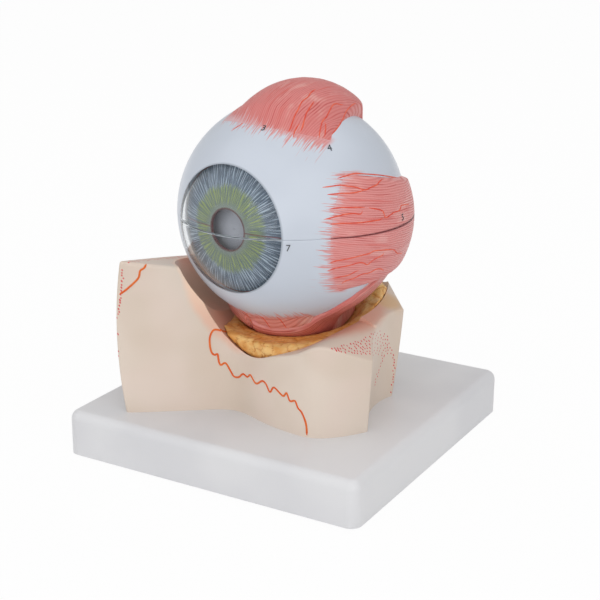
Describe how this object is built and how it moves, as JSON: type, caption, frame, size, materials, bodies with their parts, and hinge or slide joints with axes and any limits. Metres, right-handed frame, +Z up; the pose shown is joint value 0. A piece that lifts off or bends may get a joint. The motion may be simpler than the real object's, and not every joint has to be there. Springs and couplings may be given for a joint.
{
  "type": "eye anatomy model",
  "caption": "Enlarged teaching model of a left human eye that opens along a level seam, with muscles and nested shells, bedded in a cut block of its bony orbit on a square stand.",
  "frame": {"origin": "middle of the stand's resting plane, under the middle of the square tray", "axes": "+Z up; -Y to the front, where the eye looks; +X to the eye's temple side"},
  "size_m": [0.18, 0.18, 0.2042],
  "materials": {
    "stand_white": "satin, moulded",
    "foot_rubber": "matte",
    "screw_steel": "zinc plated",
    "bone_cream": "painted, satin",
    "fat_yellow": "painted, satin",
    "sclera_white": "lacquered",
    "cornea_clear": "polished, clear",
    "muscle_red": "painted, satin",
    "tendon_pink": "painted, satin",
    "nerve_yellow": "painted, satin",
    "sheath_white": "painted, satin",
    "pin_steel": "plain",
    "choroid_red": "painted, satin",
    "retina_orange": "painted, satin",
    "ciliary_brown": "painted, satin",
    "iris_blue": "painted, lacquered",
    "vitreous_clear": "polished, clear",
    "lens_clear": "polished, clear"
  },
  "bodies": {
    "stand": {"base_tray": "stand_white", "base_feet": "foot_rubber", "orbit_screws": "screw_steel", "orbit_bone": "bone_cream", "orbital_fat": "fat_yellow", "eyeball_peg": "stand_white"},
    "eyeball": {"sclera_lower": "sclera_white", "cornea_lower": "cornea_clear", "lateral_rectus_lower": "muscle_red", "medial_rectus_lower": "muscle_red", "inferior_rectus": "muscle_red", "inferior_oblique": "muscle_red", "optic_nerve_lower": "nerve_yellow", "optic_sheath_lower": "sheath_white", "sclera_dowels": "pin_steel"},
    "choroid_base": {"choroid_lower": "choroid_red", "retina_lower": "retina_orange", "ciliary_body_lower": "ciliary_brown", "iris_lower": "iris_blue", "choroid_dowels": "pin_steel"},
    "vitreous": {"vitreous_body": "vitreous_clear"},
    "crystalline_lens": {"lens": "lens_clear"},
    "choroid_lid": {"choroid_upper": "choroid_red", "retina_upper": "retina_orange", "ciliary_body_upper": "ciliary_brown", "iris_upper": "iris_blue"},
    "sclera_lid": {"sclera_upper": "sclera_white", "cornea_upper": "cornea_clear", "superior_rectus": "muscle_red", "superior_oblique": "tendon_pink", "lateral_rectus_upper": "muscle_red", "medial_rectus_upper": "muscle_red", "optic_nerve_upper": "nerve_yellow", "optic_sheath_upper": "sheath_white"}
  },
  "joints": [
    {"name": "eyeball_lift", "type": "slide", "parent": "stand", "child": "eyeball", "axis": [0, 0, 1], "range_m": [0, 0.08]},
    {"name": "choroid_lower_lift", "type": "slide", "parent": "eyeball", "child": "choroid_base", "axis": [0, 0, 1], "range_m": [0, 0.075]},
    {"name": "choroid_open", "type": "slide", "parent": "choroid_base", "child": "choroid_lid", "axis": [0, 0, 1], "range_m": [0, 0.13]},
    {"name": "vitreous_lift", "type": "slide", "parent": "choroid_base", "child": "vitreous", "axis": [0, 0, 1], "range_m": [0, 0.065]},
    {"name": "lens_forward", "type": "slide", "parent": "vitreous", "child": "crystalline_lens", "axis": [-0.1271, -0.9919, 0], "range_m": [0, 0.0195]},
    {"name": "sclera_upper_lift", "type": "slide", "parent": "choroid_lid", "child": "sclera_lid", "axis": [0, 0, 1], "range_m": [0, 0.08]}
  ],
  "couplings": [
    {"joint": "vitreous_lift", "follows": "choroid_open", "ratio": 0.5},
    {"joint": "lens_forward", "follows": "choroid_open", "ratio": 0.15}
  ]
}
